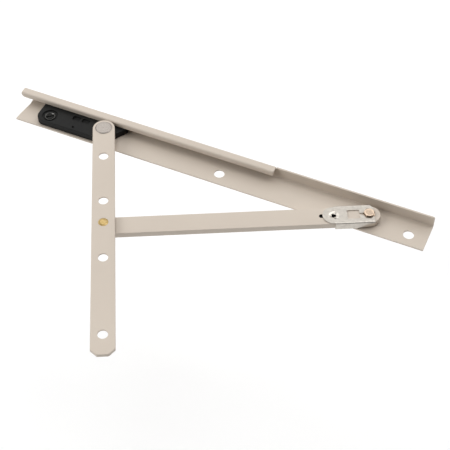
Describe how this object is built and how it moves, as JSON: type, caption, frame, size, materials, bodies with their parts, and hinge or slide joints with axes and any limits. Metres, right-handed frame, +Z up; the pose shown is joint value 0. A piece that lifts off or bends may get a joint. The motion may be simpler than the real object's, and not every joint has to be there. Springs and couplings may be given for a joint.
{
  "type": "casement window stay",
  "caption": "Casement window stay: lipped sill track, sliding shoe, flat sash arm and support arm that unclips from a hex stud.",
  "frame": {"origin": "axis of the middle track screw hole, on the underside of the track", "axes": "+X along the track towards the hex stud, +Y towards the track's upright wall, +Z up from the sill to the sash"},
  "size_m": [0.381, 0.2307, 0.0133],
  "materials": {
    "painted_steel": "satin stone powder coat on steel sheet and bar",
    "black_nylon": "moulded, slightly textured",
    "zinc_plate": "clear zinc plated spring sheet",
    "rivet_steel": "plain cold-headed steel",
    "brass": "turned brass",
    "yellow_zinc": "pale yellow zinc plated steel",
    "acetal": "natural acetal"
  },
  "bodies": {
    "track": {"track": "painted_steel", "stud_washer": "acetal"},
    "shoe": {"shoe_body": "black_nylon", "shoe_rivet_plate": "rivet_steel", "brake_insert": "brass", "brake_pad": "black_nylon", "pivot_rivet": "rivet_steel", "pivot_washer": "acetal"},
    "brake_screw": {"brake_screw": "rivet_steel"},
    "sash_arm": {"sash_arm": "painted_steel", "link_pivot_head": "brass"},
    "support_arm": {"support_arm": "painted_steel", "support_arm_bushing": "brass", "link_spacer_washer": "rivet_steel", "link_pivot_pin": "brass"},
    "lock_clip": {"lock_clip": "zinc_plate"},
    "hex_stud": {"hex_stud": "yellow_zinc"}
  },
  "joints": [
    {"name": "shoe_slide", "type": "slide", "parent": "track", "child": "shoe", "axis": [1, 0, 0], "range_m": [-0.001, 0.1321]},
    {"name": "sash_arm_fold", "type": "hinge", "parent": "shoe", "child": "sash_arm", "pos_m": [-0.1093, -0.0002, 0.011], "axis": [0, 0, -1], "range_deg": [0, 95]},
    {"name": "support_arm_swing", "type": "hinge", "parent": "track", "child": "support_arm", "pos_m": [0.1326, 0.0025, 0.005], "axis": [0, 0, 1], "range_deg": [-16.42, 1]},
    {"name": "lock_clip_slide", "type": "slide", "parent": "support_arm", "child": "lock_clip", "axis": [-0.89, -0.456, 0], "range_m": [0, 0.01]},
    {"name": "hex_stud_turn", "type": "hinge", "parent": "track", "child": "hex_stud", "pos_m": [0.1326, 0.0025, 0.005], "axis": [0, 0, 1], "continuous": true},
    {"name": "brake_screw_turn", "type": "hinge", "parent": "shoe", "child": "brake_screw", "pos_m": [-0.1624, -0.0011, 0.006], "axis": [0, 0, 1], "range_deg": [-180, 180]}
  ],
  "couplings": [
    {"joint": "shoe_slide", "follows": "sash_arm_fold", "m_per_rad": 0.07849},
    {"joint": "support_arm_swing", "follows": "sash_arm_fold", "ratio": -0.16236}
  ]
}
